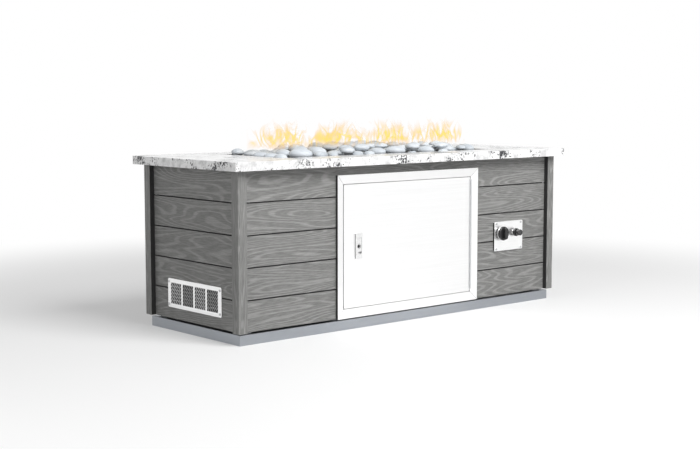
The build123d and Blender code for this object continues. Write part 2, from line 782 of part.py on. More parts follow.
# Igniter: body behind the plate, collar and push button in front
collar_back = plate_front - collar_gap
collar_front = collar_back - collar_depth
button_back = collar_front - button_gap
igniter_back = plate_back + 55
with BuildPart() as igniter_body:
    rod_y(igniter_x, collar_front, plate_back, control_z, igniter_nose)
    rod_y(igniter_x, plate_back, plate_back + 4, control_z, 15)
    rod_y(igniter_x, plate_back + 4, igniter_back, control_z, 11)
    rod_y(igniter_x, collar_front, plate_back + 20, control_z, igniter_bore + running_fit, Mode.SUBTRACT)
save(igniter_body, "igniter_body")

with BuildPart() as igniter_collar:
    rod_y(igniter_x, collar_front, collar_back, control_z, collar_radius)
    fillet(igniter_collar.faces().sort_by(Axis.Y)[0].edges(), 1.5)
    rod_y(igniter_x, collar_front, collar_back, control_z, igniter_nose, Mode.SUBTRACT)
save(igniter_collar, "igniter_collar")

with BuildPart() as igniter_button:
    rod_y(igniter_x, button_back - button_depth, button_back, control_z, button_radius)
    fillet(igniter_button.faces().sort_by(Axis.Y)[0].edges(), 1.5)
    rod_y(igniter_x, button_back - button_depth, button_back - button_depth + 1.2, control_z, 8.5, Mode.SUBTRACT)
    rod_y(igniter_x, button_back, plate_back + 10, control_z, igniter_bore)
save(igniter_button, "igniter_button")

# Ignition lead along the underside of the pan to the electrode
lead_level = pan_bottom - lead_radius
with BuildPart() as ignition_lead:
    with BuildLine() as lead_route:
        FilletPolyline(
            (igniter_x, igniter_back, control_z),
            (igniter_x, line_lane - 40, control_z),
            (igniter_x, line_lane - 40, lead_level),
            (electrode_x, line_lane - 40, lead_level),
            (electrode_x, electrode_y - electrode_radius, lead_level),
            radius=lead_bend,
        )
    with BuildSketch(Plane(origin=(igniter_x, igniter_back, control_z), z_dir=(0, 1, 0))):
        Circle(lead_radius)
    sweep()
save(ignition_lead, "ignition_lead")


# Vent grilles, one on each side
def slots(plane):
    """Leaning slots of one grille, in columns with a rib between them."""
    with BuildSketch(plane) as pattern:
        with GridLocations(grille_opening_width / grille_columns, 0, grille_columns, 1):
            with GridLocations(slot_pitch_y, slot_pitch_z, slot_count, slot_count):
                SlotOverall(slot_length, slot_width, rotation=slot_lean)
    extrude(pattern.sketch, amount=-grille_sheet, mode=Mode.SUBTRACT)


for name, side in (("left", -1), ("right", 1)):
    grille_plane = Plane(origin=(side * (face_x + grille_sheet), 0, grille_z), x_dir=(0, side, 0), z_dir=(side, 0, 0))
    with BuildPart() as grille:
        with BuildSketch(grille_plane):
            RectangleRounded(grille_width, grille_height, grille_corner)
        extrude(amount=-grille_sheet)
        chamfer(grille.faces().sort_by(Axis.X)[0 if side < 0 else -1].edges(), 1)
        slots(grille_plane)
        for y in (-grille_screw_y, grille_screw_y):
            for z in (grille_z - 40, grille_z + 40):
                rod_x(side * (face_x + grille_sheet / 2) - grille_sheet, side * (face_x + grille_sheet / 2) + grille_sheet,
                      y, z, screw_radius, Mode.SUBTRACT)
    save(grille, f"grille_{name}")

with BuildPart() as grille_screws:
    for side in (-1, 1):
        outside = side * (face_x + grille_sheet)
        for y in (-grille_screw_y, grille_screw_y):
            for z in (grille_z - 40, grille_z + 40):
                inward = outside - side * screw_length
                rod_x(min(outside, inward), max(outside, inward), y, z, screw_radius)
                head = outside + side * screw_head_height
                rod_x(min(outside, head), max(outside, head), y, z, screw_head)
save(grille_screws, "grille_screws")
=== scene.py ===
# %% [markdown]
# A long gas fire pit: a cabinet of grey composite boards, a stone top and a trough of pebbles.
# The solid model gives every shape its size. Here the pieces get their finishes, the stones get a
# natural form, and a camera, a floor and soft light show the whole. We start from the solid model.

import math

import bmesh
import bpy
import numpy as np
from mathutils import Matrix, Vector, noise


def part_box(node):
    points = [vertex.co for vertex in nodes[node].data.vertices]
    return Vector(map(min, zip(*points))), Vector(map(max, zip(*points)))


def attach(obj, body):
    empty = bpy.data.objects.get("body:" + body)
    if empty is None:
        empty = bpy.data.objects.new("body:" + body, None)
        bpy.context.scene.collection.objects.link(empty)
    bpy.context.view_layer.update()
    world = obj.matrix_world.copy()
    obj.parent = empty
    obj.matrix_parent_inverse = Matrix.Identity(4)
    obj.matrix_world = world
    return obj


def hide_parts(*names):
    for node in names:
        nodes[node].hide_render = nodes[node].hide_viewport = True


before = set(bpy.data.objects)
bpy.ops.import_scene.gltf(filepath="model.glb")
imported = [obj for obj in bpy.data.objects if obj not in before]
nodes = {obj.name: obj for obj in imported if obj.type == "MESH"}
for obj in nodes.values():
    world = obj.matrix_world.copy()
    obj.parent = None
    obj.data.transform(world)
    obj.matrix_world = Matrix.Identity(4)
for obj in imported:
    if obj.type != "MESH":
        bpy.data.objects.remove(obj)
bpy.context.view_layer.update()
bpy.ops.object.select_all(action="DESELECT")
print("loaded", len(nodes), "solids of the fire pit")

# %% [markdown]
# The camera stands to the front left, a little above the top, with a longish lens. Its place was found
# from the edges of the body in the photograph, so the picture lines up with it. The aim is set by
# turning the camera, because a camera in Blender looks down its own -Z axis.

# %% Camera
camera_data = bpy.data.cameras.new("camera")
camera_data.sensor_width = 36.0
camera_data.lens = 67.5
camera_data.shift_x = 0.0043
camera_data.shift_y = 0.0053
camera = bpy.data.objects.new("camera", camera_data)
camera.location = (-3.3212, -3.7013, 0.8372)
camera.rotation_euler = (math.radians(84.043), 0.0, math.radians(-41.263))
bpy.context.scene.collection.objects.link(camera)
bpy.context.scene.camera = camera
print("camera at", tuple(round(v, 2) for v in camera.location))

# %% [markdown]
# Every finish is a small network of nodes round one Principled shader. The first helpers start a finish
# and add a node with its numbers set by name, so that the networks below stay short to read.


# %% Helpers for nodes
def as_colour(value):
    """Four colour channels from a grey or from three channels."""
    if isinstance(value, (int, float)):
        value = (value, value, value)
    return (*value, 1.0)


def finish(name, colour, roughness, metallic=0.0):
    """A new material with a Principled shader, its node tree and that shader."""
    material = bpy.data.materials.new(name)
    material.use_nodes = True
    tree = material.node_tree
    shader = tree.nodes["Principled BSDF"]
    shader.inputs["Base Color"].default_value = as_colour(colour)
    shader.inputs["Roughness"].default_value = roughness
    shader.inputs["Metallic"].default_value = metallic
    return material, tree, shader


def node(tree, kind, **values):
    """A node whose properties and sockets are set by name."""
    made = tree.nodes.new(kind)
    for key, value in values.items():
        if hasattr(made, key):
            setattr(made, key, value)
        else:
            made.inputs[key.replace("_", " ")].default_value = value
    return made


def feed(tree, value, socket):
    """Link a socket to another one, or set it to a number."""
    if isinstance(value, (int, float)):
        socket.default_value = value
    else:
        tree.links.new(value, socket)


def math_node(tree, operation, first, second=None):
    """A Math node fed by sockets or numbers."""
    made = node(tree, "ShaderNodeMath", operation=operation)
    feed(tree, first, made.inputs[0])
    if second is not None:
        feed(tree, second, made.inputs[1])
    return made.outputs[0]


def weighted(tree, first, first_weight, second, second_weight):
    """The sum of two sockets, each times its weight."""
    return math_node(tree, "ADD", math_node(tree, "MULTIPLY", first, first_weight),
                     math_node(tree, "MULTIPLY", second, second_weight))


print("helpers for nodes are ready")

# %% [markdown]
# Patterns lie on Object coordinates. Since each piece keeps its place in its mesh, these are metres in the
# room at rest, and a pattern runs on from board to board unless we shift it. They turn with a piece that
# moves, and so does the Normal of the same node, which tells a front face from a side face.


# %% Helpers for patterns
def own_axes(tree, kind="Object"):
    """The x, y and z of a place, or of the surface's Normal, in the piece's own axes."""
    place = tree.nodes.new("ShaderNodeTexCoord")
    split = tree.nodes.new("ShaderNodeSeparateXYZ")
    tree.links.new(place.outputs[kind], split.inputs[0])
    return split.outputs


def mapped(tree, scale=(1.0, 1.0, 1.0)):
    """Object coordinates through a Mapping node."""
    place = tree.nodes.new("ShaderNodeTexCoord")
    mapping = node(tree, "ShaderNodeMapping", Scale=scale)
    tree.links.new(place.outputs["Object"], mapping.inputs["Vector"])
    return mapping.outputs["Vector"]


def stretched(tree, along, along_scale, across, across_scale, shift):
    """A vector with a scale of its own along and across, and a shift that picks another pattern."""
    made = tree.nodes.new("ShaderNodeCombineXYZ")
    tree.links.new(math_node(tree, "MULTIPLY", along, along_scale), made.inputs[0])
    tree.links.new(math_node(tree, "MULTIPLY", across, across_scale), made.inputs[1])
    feed(tree, shift, made.inputs[2])
    return made.outputs[0]


def noise_on(tree, vector, scale, detail=2.0, rough=0.5, distortion=0.0):
    """A noise texture on a vector; returns its factor."""
    made = node(tree, "ShaderNodeTexNoise", Scale=scale, Detail=detail, Roughness=rough,
                Distortion=distortion)
    tree.links.new(vector, made.inputs["Vector"])
    return made.outputs["Fac"]


def smooth_step(tree, source, start, end=1.0):
    """A soft step from zero at the start to one at the end."""
    made = node(tree, "ShaderNodeMapRange", interpolation_type="SMOOTHSTEP", From_Min=start, From_Max=end)
    tree.links.new(source, made.inputs["Value"])
    return made.outputs["Result"]


def first_channel(tree, colour):
    """The first channel of a colour, as a number."""
    made = tree.nodes.new("ShaderNodeSeparateColor")
    tree.links.new(colour, made.inputs[0])
    return made.outputs[0]


print("helpers for patterns are ready")

# %% [markdown]
# A pattern becomes a finish when it sets a colour or a height. A colour ramp turns a number into a colour,
# a mask darkens part of a finish, and a bump raises the surface by a fraction of a millimetre.


# %% Helpers for colour and height
def ramp(tree, source, stops):
    """A colour ramp; stops are (place, grey or colour)."""
    made = tree.nodes.new("ShaderNodeValToRGB")
    band = made.color_ramp
    while len(band.elements) < len(stops):
        band.elements.new(0.5)
    for element, (place, colour) in zip(band.elements, stops):
        element.position = place
        element.color = as_colour(colour)
    tree.links.new(source, made.inputs["Fac"])
    return made.outputs["Color"]


def darken(tree, colour, mask, dark):
    """A colour that turns into a dark grey or colour where a mask is one."""
    blend = node(tree, "ShaderNodeMix", data_type="RGBA")
    tree.links.new(mask, blend.inputs["Factor"])
    tree.links.new(colour, blend.inputs["A"])
    blend.inputs["B"].default_value = as_colour(dark)
    return blend.outputs["Result"]


def darken_finish(material, mask, dark):
    """Darken a finish that has a pattern, where a mask is one."""
    tree = material.node_tree
    base = tree.nodes["Principled BSDF"].inputs["Base Color"]
    tree.links.new(darken(tree, base.links[0].from_socket, mask, dark), base)


def bump(tree, shader, height, distance, strength):
    """Raise the surface by a height socket."""
    made = node(tree, "ShaderNodeBump", Strength=strength, Distance=distance)
    tree.links.new(height, made.inputs["Height"])
    tree.links.new(made.outputs["Normal"], shader.inputs["Normal"])


def dress(material, *names):
    """Give a finish to solids of the model."""
    for name in names:
        slots = nodes[name].data.materials
        slots.clear()
        slots.append(material)


print("helpers for colour and height are ready")

# %% [markdown]
# The boards are grey composite with a pressed wood grain. Real cathedral grain is a cut through year
# rings, so contour lines of a stretched noise look much like it: a sine of the noise gives rings that
# run along the board and close in long arches. Each row is shifted by its own amount, because no two
# boards are cut from the same place.

# %% Grained board finish
board_dark = (0.150, 0.150, 0.146)
board_light = (0.300, 0.300, 0.292)
row_start = 0.04
row_pitch = 0.108
sides_per_metre = 1.4
row_shift = 3.7
side_shift = 9.1
trim_shift = 4.3
ring_along = 1.7
ring_across_board = 13.0
ring_across_trim = 40.0
ring_lines = 120.0
pore_along = 26.0
pore_across = 420.0
line_share = 0.50
pore_share = 0.40
grain_relief = 0.0008


def cut_place(tree, x, z, upright):
    """A number for each board or trim, which picks its own figure."""
    side = math_node(tree, "MULTIPLY", x, sides_per_metre)
    side = math_node(tree, "FLOOR", math_node(tree, "ADD", side, 0.5))
    if upright:
        return math_node(tree, "MULTIPLY", side, trim_shift)
    row = math_node(tree, "DIVIDE", math_node(tree, "SUBTRACT", z, row_start), row_pitch)
    return weighted(tree, math_node(tree, "FLOOR", row), row_shift, side, side_shift)


def painted_edge_shade(tree, colour, x, y, upright):
    """Painted shade: the sides of a trim that look inwards and a board's long edges, which lie in the gaps,
    turn nearly black.
    """
    normal = own_axes(tree, "Normal")
    if upright:
        outward = weighted(tree, x, normal[0], y, normal[1])
        return darken(tree, colour, math_node(tree, "LESS_THAN", outward, -0.05), 0.018)
    level = math_node(tree, "ABSOLUTE", normal[2])
    return darken(tree, colour, math_node(tree, "GREATER_THAN", level, 0.3), 0.022)


def grained(name, axis, ring_across):
    """Composite with pressed grain that runs along the x, y or z axis."""
    material, tree, shader = finish(name, board_light, 0.62)
    x, y, z = own_axes(tree)
    along = {"x": x, "y": y, "z": z}[axis]
    upright = axis == "z"
    across = math_node(tree, "ADD", x, y) if upright else z
    shift = cut_place(tree, x, z, upright)
    rings = stretched(tree, along, ring_along, across, ring_across, shift)
    figure = noise_on(tree, rings, 1.0, detail=1.0, rough=0.35, distortion=0.12)
    contour = math_node(tree, "SINE", math_node(tree, "MULTIPLY", figure, ring_lines))
    lines = smooth_step(tree, contour, 0.1)
    streaks = stretched(tree, along, pore_along, across, pore_across, shift)
    fine = noise_on(tree, streaks, 1.0, detail=3.0, rough=0.6)
    pores = first_channel(tree, ramp(tree, fine, ((0.42, 0.0), (0.58, 1.0))))
    height = weighted(tree, lines, line_share, pores, pore_share)
    colour = ramp(tree, height, ((0.0, board_dark), (1.0, board_light)))
    # Painted shade darkens the inward sides of trims and the long edges of boards.
    tree.links.new(painted_edge_shade(tree, colour, x, y, upright), shader.inputs["Base Color"])
    bump(tree, shader, height, grain_relief, 0.8)
    return material


front_finish = grained("board_front_grain", "x", ring_across_board)
side_finish = grained("board_side_grain", "y", ring_across_board)
trim_finish = grained("trim_grain", "z", ring_across_trim)
dress(front_finish, *[name for name in nodes if name.startswith(("board_front", "boards_back"))])
dress(side_finish, *[name for name in nodes if name.startswith(("board_left", "boards_right"))])
dress(trim_finish, *[name for name in nodes if name.startswith("trim_")])
print("boards and trims have grain")

# %% [markdown]
# The top is pale polished stone. Its flecks sit in clusters: a broad noise decides where flecks may be,
# and a fine noise cuts them out. A soft grey cloud lies under them.


# %% Stone finish
def flecked_stone():
    """Pale stone with soft clouds and clusters of dark flecks."""
    material, tree, shader = finish("flecked_stone", (0.80, 0.80, 0.78), 0.22)
    even = mapped(tree)
    cloud = ramp(tree, noise_on(tree, even, 34.0, 4.0, 0.6), ((0.34, 0.58), (0.54, 0.84)))
    cluster = noise_on(tree, even, 11.0, 3.0, 0.6)
    fleck = noise_on(tree, even, 120.0, 3.0, 0.7)
    mask = ramp(tree, weighted(tree, cluster, 0.75, fleck, 0.6), ((0.745, 0.0), (0.775, 1.0)))
    tree.links.new(darken(tree, cloud, mask, (0.045, 0.045, 0.05)), shader.inputs["Base Color"])
    bump(tree, shader, noise_on(tree, even, 300.0), 0.0001, 0.3)
    return material


dress(flecked_stone(), "stone_top")
print("stone top is flecked")

# %% [markdown]
# Brushed steel and aluminium show fine lines where the brush ran. A noise that is stretched along the stroke
# changes the roughness, the tone and, very slightly, the height. Screws and gas tube have an even grain.

# %% Brushed metals
bright_steel = (0.98, 0.98, 0.98)
door_stroke = (3.0, 400.0, 900.0)
stroke_relief = 0.00002


def brushed(name, colour, roughness, stroke, spread=0.12):
    """Metal with brush strokes; the stroke's scale is small along it and large across it."""
    material, tree, shader = finish(name, colour, roughness, 1.0)
    lines = noise_on(tree, mapped(tree, stroke), 1.0, 3.0, 0.65)
    level = math_node(tree, "ADD", math_node(tree, "MULTIPLY", lines, spread), roughness - spread / 2)
    tree.links.new(level, shader.inputs["Roughness"])
    low = tuple(0.93 * part for part in colour)
    tree.links.new(ramp(tree, lines, ((0.3, low), (0.7, colour))), shader.inputs["Base Color"])
    bump(tree, shader, lines, stroke_relief, 0.4)
    return material


def painted_gap_reflection(material, dark=0.03):
    """Paint a dark reflection on the faces of a front panel that look sideways, as they would mirror only the
    gap beside them.
    """
    tree = material.node_tree
    sideways = math_node(tree, "ABSOLUTE", own_axes(tree, "Normal")[0])
    darken_finish(material, math_node(tree, "GREATER_THAN", sideways, 0.8), dark)
    return material


# Door, latch and door frame get a painted dark reflection on their sideways faces.
door_finish = painted_gap_reflection(brushed("door_steel", bright_steel, 0.34, door_stroke, 0.10))
base_finish = brushed("base_aluminium", (0.385, 0.405, 0.435), 0.38, (3.0, 3.0, 500.0), 0.20)
frame_finish = brushed("frame_aluminium", (0.52, 0.53, 0.54), 0.42, (40.0, 40.0, 300.0))
pan_finish = brushed("pan_steel", (0.42, 0.42, 0.42), 0.45, (20.0, 300.0, 300.0))
hinge_finish = brushed("hinge_steel", (0.70, 0.71, 0.72), 0.30, (600.0, 600.0, 20.0))
latch_finish = painted_gap_reflection(brushed("latch_metal", (0.88, 0.88, 0.88), 0.28, (500.0, 500.0, 40.0)), 0.30)
bezel_finish = brushed("bezel_steel", (0.62, 0.62, 0.62), 0.32, (300.0, 60.0, 300.0))
screw_finish = brushed("screw_steel", (0.55, 0.55, 0.56), 0.28, (700.0, 700.0, 700.0))
tube_finish = brushed("gas_tube", (0.66, 0.67, 0.68), 0.30, (200.0, 200.0, 200.0))
brass_finish = brushed("turned_brass", (0.70, 0.50, 0.20), 0.30, (500.0, 60.0, 500.0))
dress(door_finish, "door_leaf", "control_plate")
dress(base_finish, "base_ring")
dress(frame_finish, "corner_posts", "top_frame", "pan_frame", "door_studs")
dress(pan_finish, "burner_pan", "burner_tube")
dress(hinge_finish, "hinge_frame_leaf", "hinge_door_leaf", "hinge_pin", "valve_stem")
dress(latch_finish, "latch_cup", "latch_pull")
dress(bezel_finish, "knob_bezel", "igniter_body")
dress(screw_finish, "control_screws", "grille_screws")
dress(tube_finish, "gas_line")
dress(brass_finish, "valve_body", "valve_core", "valve_outlet", "gas_inlet", "mixer_block")
print("metals are brushed")

# %% [markdown]
# The border of the door is four strips that meet in mitred corners. The joint is a hairline at 45 degrees,
# where a point is as far from the upright edge as from the level one, so it can be worked out from the
# frame's size.

# %% Mitred door frame
mitre_half_width = 0.0007


def off_level(tree, z, low, high):
    """How far a place is above or below the middle of a box."""
    return math_node(tree, "ABSOLUTE", math_node(tree, "SUBTRACT", z, (low.z + high.z) / 2))


def mitre_lines(tree):
    """A mask that is one on the hairlines in the corners of the door frame."""
    low, high = (Vector(corner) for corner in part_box("door_frame"))
    place = own_axes(tree)
    from_side = math_node(tree, "SUBTRACT", math_node(tree, "ABSOLUTE", place[0]), high.x)
    from_end = math_node(tree, "SUBTRACT", off_level(tree, place[2], low, high), (high.z - low.z) / 2)
    apart = math_node(tree, "ABSOLUTE", math_node(tree, "SUBTRACT", from_side, from_end))
    return math_node(tree, "LESS_THAN", apart, mitre_half_width)


mitre_finish = brushed("door_frame_steel", bright_steel, 0.34, door_stroke, 0.10)
darken_finish(mitre_finish, mitre_lines(mitre_finish.node_tree), 0.35)
dress(painted_gap_reflection(mitre_finish), "door_frame")
print("door frame has mitred corners")

# %% [markdown]
# The knob and the igniter are black plastic with a fine moulded texture, and the fill under the stones is
# dark rough rock. One fine noise gives each of them a slight change of tone and a grain to the touch.


# %% Plastics, ceramic and fill
def textured(name, colour, roughness, scale, relief, shade):
    """A plastic, coating or rock with fine texture and slight change of tone."""
    material, tree, shader = finish(name, colour, roughness)
    cells = noise_on(tree, mapped(tree), scale, 3.0, 0.6)
    low = tuple(shade * part for part in colour)
    tree.links.new(ramp(tree, cells, ((0.35, low), (0.65, colour))), shader.inputs["Base Color"])
    bump(tree, shader, cells, relief, 0.6)
    return material


knob_finish = textured("knob_plastic", (0.018, 0.018, 0.019), 0.34, 1500.0, 0.00006, 0.6)
igniter_finish = textured("igniter_plastic", (0.022, 0.022, 0.023), 0.40, 1500.0, 0.00006, 0.6)
button_finish = textured("button_plastic", (0.045, 0.045, 0.046), 0.36, 1500.0, 0.00005, 0.7)
rock_finish = textured("fill_rock", (0.10, 0.098, 0.095), 0.9, 180.0, 0.004, 0.35)
ceramic_finish = textured("electrode_ceramic", (0.82, 0.80, 0.75), 0.35, 600.0, 0.00004, 0.92)
lead_finish = textured("lead_rubber", (0.03, 0.03, 0.03), 0.6, 800.0, 0.00005, 0.7)
dress(knob_finish, "knob")
dress(igniter_finish, "igniter_collar", "key_plug")
dress(button_finish, "igniter_button")
dress(rock_finish, "fill_bed")
dress(ceramic_finish, "electrode")
# The door gasket is black rubber, and as a strip round the door frame it also paints the shade line between
# frame and boards.
dress(lead_finish, "ignition_lead", "door_gasket")
print("plastics, ceramic and fill are dressed")

# %% [markdown]
# The vent grilles are bright steel, and the walls of their punched slots get painted shade, as they would
# mirror only the dark inside.
# The narrow bars between the slots get painted shade that makes them darker than the flat border, most in the
# columns that have blades behind them. The columns are found by counting along the grille from its middle.

# %% Vent grille finish
vent_border = 0.029
vent_columns = 4
vent_rows = 6
vent_pitch = 0.0124
column_share = 0.44


def vent_masks(tree):
    """Two masks of painted shade for the columns of slots: all of them, and those with blades."""
    low, high = (Vector(corner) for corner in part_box("grille_left"))
    x, y, z = own_axes(tree)
    turned = math_node(tree, "MULTIPLY", y, math_node(tree, "SIGN", x))
    count = math_node(tree, "DIVIDE", turned, -(high.y - low.y - vent_border) / vent_columns)
    off_middle = math_node(tree, "SUBTRACT", math_node(tree, "FRACT", count), 0.5)
    in_column = math_node(tree, "LESS_THAN", math_node(tree, "ABSOLUTE", off_middle), column_share)
    in_width = math_node(tree, "LESS_THAN", math_node(tree, "ABSOLUTE", count), vent_columns / 2)
    in_height = math_node(tree, "LESS_THAN", off_level(tree, z, low, high), vent_rows * vent_pitch / 2)
    column_shade_mask = math_node(tree, "MULTIPLY", math_node(tree, "MULTIPLY", in_column, in_width), in_height)
    half_count = math_node(tree, "MULTIPLY", math_node(tree, "FLOOR", count), 0.5)
    even_column = math_node(tree, "LESS_THAN", math_node(tree, "FRACT", half_count), 0.25)
    return column_shade_mask, math_node(tree, "MULTIPLY", column_shade_mask, even_column)


grille_finish = brushed("grille_steel", bright_steel, 0.40, (400.0, 3.0, 900.0), 0.10)
tree = grille_finish.node_tree
column_shade_mask, blade_shade_mask = vent_masks(tree)
outward = math_node(tree, "ABSOLUTE", own_axes(tree, "Normal")[0])
slot_wall_shade = math_node(tree, "LESS_THAN", outward, 0.5)
# Painted shade: the bars of the slot columns are darker, more so where blades lie behind, and the slot walls
# are nearly black.
darken_finish(grille_finish, column_shade_mask, 0.50)
darken_finish(grille_finish, blade_shade_mask, 0.32)
darken_finish(grille_finish, slot_wall_shade, 0.02)
dress(grille_finish, "grille_left", "grille_right")
print("vent grilles are dressed")

# %% [markdown]
# The stones in the solid model are plain ellipsoids, and their place, turn and size are read from it. Its
# mesh is loose triangles, so a copy is merged first, and the stones then fall apart into groups of linked
# vertices. The points of a group are sorted, so that the same stone is found in every run.


# %% Stones of the solid model
def stone_points():
    """The points of every pebble of the solid model, one array for each."""
    work = bmesh.new()
    work.from_mesh(nodes["pebbles"].data)
    bmesh.ops.remove_doubles(work, verts=work.verts, dist=1e-6)
    left = set(work.verts)
    found = []
    while left:
        group, queue = [], [left.pop()]
        while queue:
            vertex = queue.pop()
            group.append(tuple(vertex.co))
            for edge in vertex.link_edges:
                other = edge.other_vert(vertex)
                if other in left:
                    left.remove(other)
                    queue.append(other)
        found.append(np.array(sorted(group)))
    work.free()
    return sorted(found, key=lambda points: tuple(np.round(points.mean(0), 4)))


def stone_body(points):
    """Centre, turn and half sizes of one pebble."""
    low, high = points.min(0), points.max(0)
    centre = (low + high) / 2
    flat = points[:, :2] - centre[:2]
    reach = np.hypot(flat[:, 0], flat[:, 1])
    far = flat[reach.argmax()]
    turn = math.atan2(far[1], far[0])
    side = np.abs(-flat[:, 0] * math.sin(turn) + flat[:, 1] * math.cos(turn)).max()
    return Vector(centre), turn, (reach.max(), side, (high[2] - low[2]) / 2)


stone_bodies = [stone_body(points) for points in stone_points()]
print("stones found:", len(stone_bodies))

# %% [markdown]
# A tumbled pebble is a little lopsided, so each one is modelled again: an ico sphere takes the size and turn
# of its ellipsoid, and a slow noise pushes its skin in, never out, so that no stone grows into its neighbour.

# %% Pebbles
skin_middle = 0.955
skin_push = 0.045
skin_scale = 0.9
pattern_step = Vector((7.31, 3.17, 1.93))


def joined(pieces, name):
    """Several meshes as one piece."""
    bpy.ops.object.select_all(action="DESELECT")
    for piece in pieces:
        piece.select_set(True)
    bpy.context.view_layer.objects.active = pieces[0]
    bpy.ops.object.join()
    whole = bpy.context.object
    whole.name = name
    return whole


def pebble(index, centre, turn, half):
    """One lopsided stone inside its ellipsoid."""
    bpy.ops.mesh.primitive_ico_sphere_add(subdivisions=4, radius=1.0, location=(0.0, 0.0, 0.0))
    stone = bpy.context.object
    for vertex in stone.data.vertices:
        push = noise.noise(vertex.co * skin_scale + index * pattern_step)
        vertex.co *= skin_middle + skin_push * push
    spin = Matrix.Rotation(turn, 4, "Z")
    stretch = Matrix.Diagonal((*half, 1.0))
    stone.data.transform(Matrix.Translation(centre) @ spin @ stretch)
    return stone


pebble_bed = joined([pebble(index, *body) for index, body in enumerate(stone_bodies)], "pebble_bed")
bpy.ops.object.shade_smooth()
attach(pebble_bed, "cabinet")
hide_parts("pebbles")
print("pebble bed has", len(pebble_bed.data.polygons), "faces")

# %% [markdown]
# Tumbled stones differ in tone from one to the next and have a faint cloud in each. A cell texture with
# cells about as large as a stone gives the change of tone, and a fine noise gives the dry, silky skin.


# %% Pebble finish
def tumbled_stone():
    """Blue-grey stone, in tones that change from stone to stone."""
    material, tree, shader = finish("tumbled_stone", (0.42, 0.47, 0.51), 0.52)
    even = mapped(tree)
    cells = node(tree, "ShaderNodeTexVoronoi", Scale=13.0)
    tree.links.new(even, cells.inputs["Vector"])
    cell_tone = first_channel(tree, cells.outputs["Color"])
    tone = weighted(tree, cell_tone, 0.35, noise_on(tree, even, 45.0, 4.0, 0.6), 0.65)
    colour = ramp(tree, tone, ((0.25, (0.45, 0.49, 0.53)), (0.70, (0.66, 0.70, 0.74))))
    tree.links.new(colour, shader.inputs["Base Color"])
    bump(tree, shader, noise_on(tree, even, 420.0, 3.0), 0.0002, 0.4)
    return material


pebble_bed.data.materials.clear()
pebble_bed.data.materials.append(tumbled_stone())
print("pebbles are dressed")

# %% [markdown]
# Behind every second column of the vents lie angled blades that keep rain out, so those columns look closed.
# One blade is a thin box, set up again for every row of slots.

# %% Vent blades
blade_thickness = 0.0020
blade_height = 0.0100
blade_play = 0.006
blade_lean = math.radians(35.0)
blade_setback = 0.008
first_blade = 0.0205
blade_finish = textured("vent_blade", (0.07, 0.07, 0.07), 0.5, 700.0, 0.00005, 0.9)


def vent_blades(name, side):
    """Blades behind two columns of the vent on one side of the body."""
    low, high = (Vector(corner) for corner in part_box("grille_left" if side < 0 else "grille_right"))
    column = (high.y - low.y - vent_border) / vent_columns
    depth = side * (abs(low.x + high.x) / 2 - blade_setback)
    made = []
    for turn in (-side * 0.5, side * 1.5):
        for step in range(vent_rows):
            place = (depth, turn * column, low.z + first_blade + step * vent_pitch)
            bpy.ops.mesh.primitive_cube_add(size=1.0, location=place)
            blade = bpy.context.object
            blade.scale = (blade_thickness, column - blade_play, blade_height)
            blade.rotation_euler = (0.0, side * blade_lean, 0.0)
            bpy.ops.object.transform_apply(location=True, rotation=True, scale=True)
            made.append(blade)
    blades = joined(made, name)
    blades.data.materials.append(blade_finish)
    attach(blades, "cabinet")
    return blades


for name, side in (("vent_blades_left", -1), ("vent_blades_right", 1)):
    print(vent_blades(name, side).name, "made")

# %% [markdown]
# Burning gas has no surface, so the flames are not a piece of the object: they belong to the set, like the
# floor. Each is an upright sheet, and only thin crests of a stretched, swirled noise show on it. They
# fade out with height, and the height rises and falls along the burner, which gathers them in clusters.

# %% Flame pattern
flame_low = 0.615
flame_ends = (-0.50, 0.53)
flame_colours = ((0.0, (1.0, 0.66, 0.48)), (0.35, (1.0, 0.66, 0.26)), (0.85, (1.0, 0.80, 0.14)))
flame_opacity = 0.85
cluster_pitch = 0.265
cluster_first = -0.385
cluster_swell = 0.022
crest_sharpness = 9.0
swirl_along = 14.0
swirl_up = 8.0
reach_scale = 0.19
foot_gap = 0.012
tip_fade = 20.0
end_fade = 25.0
foot_fade = 30.0


def flame_fade(tree, x, z, figure):
    """From one low in the flame to zero at its tips, at its foot and at both ends of the burner."""
    phase = math_node(tree, "SUBTRACT", x, cluster_first)
    phase = math_node(tree, "MULTIPLY", phase, 2.0 * math.pi / cluster_pitch)
    reach = weighted(tree, math_node(tree, "COSINE", phase), cluster_swell, figure, reach_scale)
    rise = math_node(tree, "SUBTRACT", z, flame_low)
    tips = math_node(tree, "MULTIPLY", math_node(tree, "SUBTRACT", reach, rise), tip_fade)
    ends = math_node(tree, "MINIMUM", math_node(tree, "SUBTRACT", x, flame_ends[0]),
                     math_node(tree, "SUBTRACT", flame_ends[1], x))
    ends = math_node(tree, "MULTIPLY", ends, end_fade)
    foot = math_node(tree, "MULTIPLY", math_node(tree, "SUBTRACT", rise, foot_gap), foot_fade)
    fade = math_node(tree, "MINIMUM", math_node(tree, "MINIMUM", tips, ends), foot)
    return math_node(tree, "MINIMUM", math_node(tree, "MAXIMUM", fade, 0.0), 1.0)


def flame_wisps(tree, seed):
    """How dense the flame is: thin crests of a swirled noise, faded at the rim."""
    place = own_axes(tree)
    x, z = place[0], place[2]
    swirl = stretched(tree, x, swirl_along, z, swirl_up, seed)
    figure = noise_on(tree, swirl, 1.0, detail=1.0, rough=0.45, distortion=1.7)
    crest = math_node(tree, "ABSOLUTE", math_node(tree, "SUBTRACT", figure, 0.5))
    crest = math_node(tree, "SUBTRACT", 1.0, math_node(tree, "MULTIPLY", crest, crest_sharpness))
    return math_node(tree, "MULTIPLY", math_node(tree, "MAXIMUM", crest, 0.0), flame_fade(tree, x, z, figure))


print("flame pattern reaches from", flame_ends[0], "to", flame_ends[1], "m")

